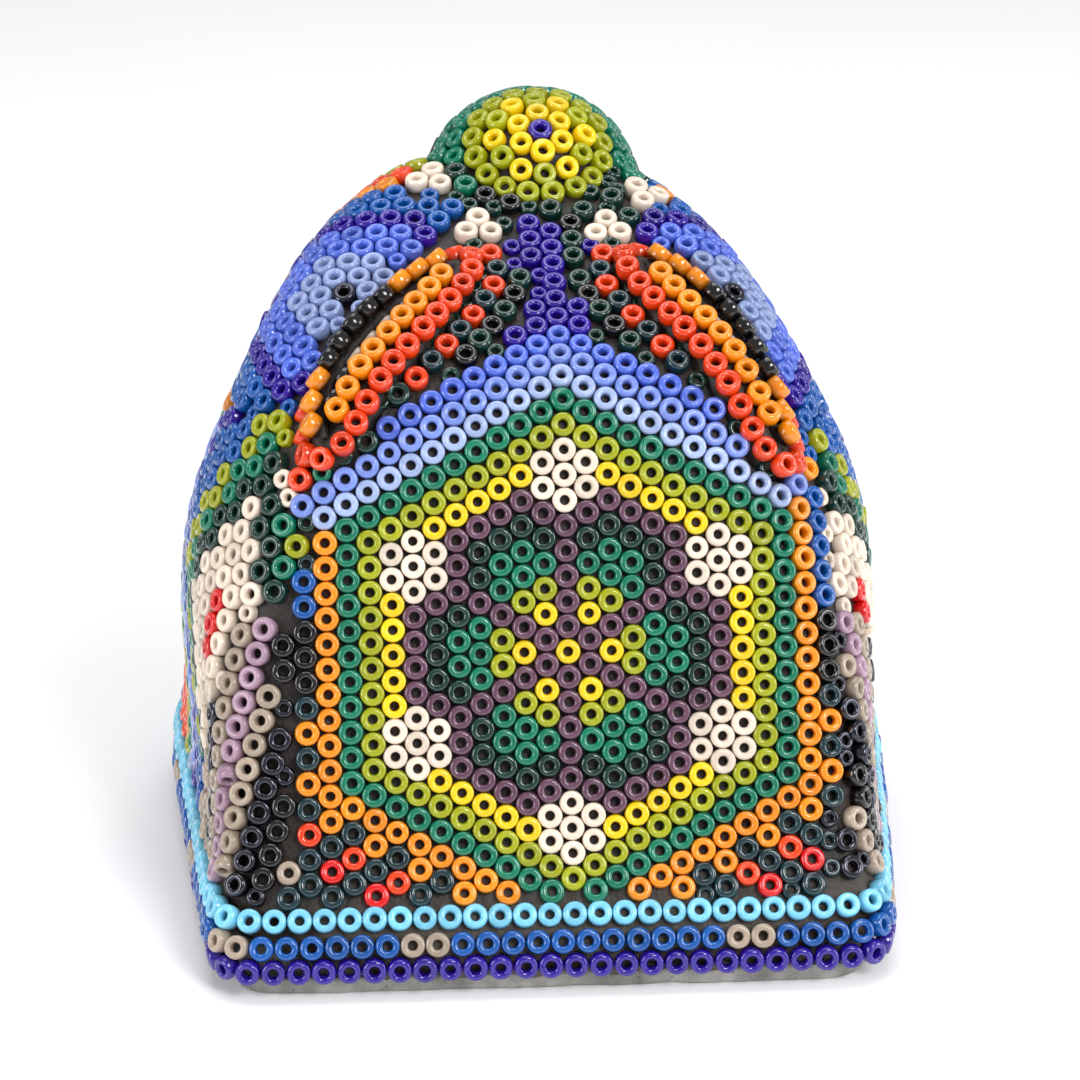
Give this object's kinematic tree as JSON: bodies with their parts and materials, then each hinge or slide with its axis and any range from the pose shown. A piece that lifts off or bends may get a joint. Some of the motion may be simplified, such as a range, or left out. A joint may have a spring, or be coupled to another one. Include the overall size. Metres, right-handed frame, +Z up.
{
  "type": "beaded animal head figure",
  "caption": "Small animal head covered in seed beads pressed into wax, resting on its flat neck with the nose up.",
  "frame": {"origin": "middle of the flat neck, on the surface it rests on", "axes": "+Z up out of the flat neck, -Y out of the crown, +X towards the animal's right side"},
  "size_m": [0.0686, 0.0693, 0.067],
  "materials": {
    "black_bead": "opaque glossy glass bead, black",
    "cast_core": "rough grey cast, unpainted",
    "dark_green_bead": "opaque glossy glass bead, dark green",
    "dark_wax": "dark beeswax and resin, soft sheen",
    "ivory_bead": "opaque ivory glass bead",
    "lavender_bead": "opaque glossy glass bead, lavender",
    "lilac_bead": "opaque glossy glass bead, lilac",
    "mid_blue_bead": "opaque glossy glass bead, mid blue",
    "olive_bead": "opaque glossy glass bead, olive",
    "orange_bead": "opaque glossy glass bead, orange",
    "periwinkle_bead": "opaque glossy glass bead, periwinkle",
    "purple_bead": "opaque glossy glass bead, purple",
    "red_bead": "opaque glossy glass bead, red",
    "red_orange_bead": "opaque glossy glass bead, red orange",
    "royal_blue_bead": "opaque glossy glass bead, royal blue",
    "sky_blue_bead": "opaque glossy glass bead, sky blue",
    "taupe_bead": "opaque glossy glass bead, taupe",
    "teal_bead": "opaque glossy glass bead, teal",
    "ultramarine_bead": "opaque glossy glass bead, ultramarine",
    "yellow_bead": "opaque glossy glass bead, yellow"
  },
  "bodies": {
    "root": {"arch_lavender": "lavender_bead", "arch_periwinkle": "periwinkle_bead", "cast_core": "cast_core", "crown_orange_border": "orange_bead", "flower_gold_border": "yellow_bead", "flower_heart": "yellow_bead", "flower_ivory_tuft_1": "ivory_bead", "flower_ivory_tuft_2": "ivory_bead", "flower_ivory_tuft_3": "ivory_bead", "flower_ivory_tuft_4": "ivory_bead", "flower_ivory_tuft_5": "ivory_bead", "flower_ivory_tuft_6": "ivory_bead", "flower_outline": "purple_bead", "flower_petals": "teal_bead", "flower_teal_border": "teal_bead", "forehead_stripe": "ultramarine_bead", "left_cheek_green_frame": "teal_bead", "left_cheek_ivory_diamond": "ivory_bead", "left_cheek_olive_frame": "olive_bead", "left_cheek_red_heart": "red_bead", "left_corner_rays": "orange_bead", "left_ear_cup": "dark_wax", "left_ear_outer_beads": "red_orange_bead", "left_ear_rim_beads": "orange_bead", "left_eye_blue_ring": "periwinkle_bead", "left_eye_pale_ring": "lavender_bead", "left_eye_violet_ring": "ultramarine_bead", "left_forehead_field": "dark_green_bead", "left_hematite_band": "black_bead", "left_jaw_field": "periwinkle_bead", "left_lilac_band": "lilac_bead", "left_temple_field": "royal_blue_bead", "lips": "red_bead", "nose_collar": "dark_green_bead", "nose_middle": "yellow_bead", "nose_teal_ring": "teal_bead", "right_cheek_green_frame": "teal_bead", "right_cheek_ivory_diamond": "ivory_bead", "right_cheek_olive_frame": "olive_bead", "right_cheek_red_heart": "red_bead", "right_corner_rays": "orange_bead", "right_ear_cup": "dark_wax", "right_ear_outer_beads": "red_orange_bead", "right_ear_rim_beads": "orange_bead", "right_eye_blue_ring": "periwinkle_bead", "right_eye_pale_ring": "lavender_bead", "right_eye_violet_ring": "ultramarine_bead", "right_forehead_field": "dark_green_bead", "right_hematite_band": "black_bead", "right_jaw_field": "periwinkle_bead", "right_lilac_band": "lilac_bead", "right_temple_field": "royal_blue_bead", "rim_row_lower": "ultramarine_bead", "rim_row_middle": "royal_blue_bead", "rim_row_upper": "sky_blue_bead", "throat_flower_border": "teal_bead", "throat_flower_heart": "red_orange_bead", "throat_flower_petals": "yellow_bead", "wax_coat": "dark_wax"}
  },
  "joints": []
}
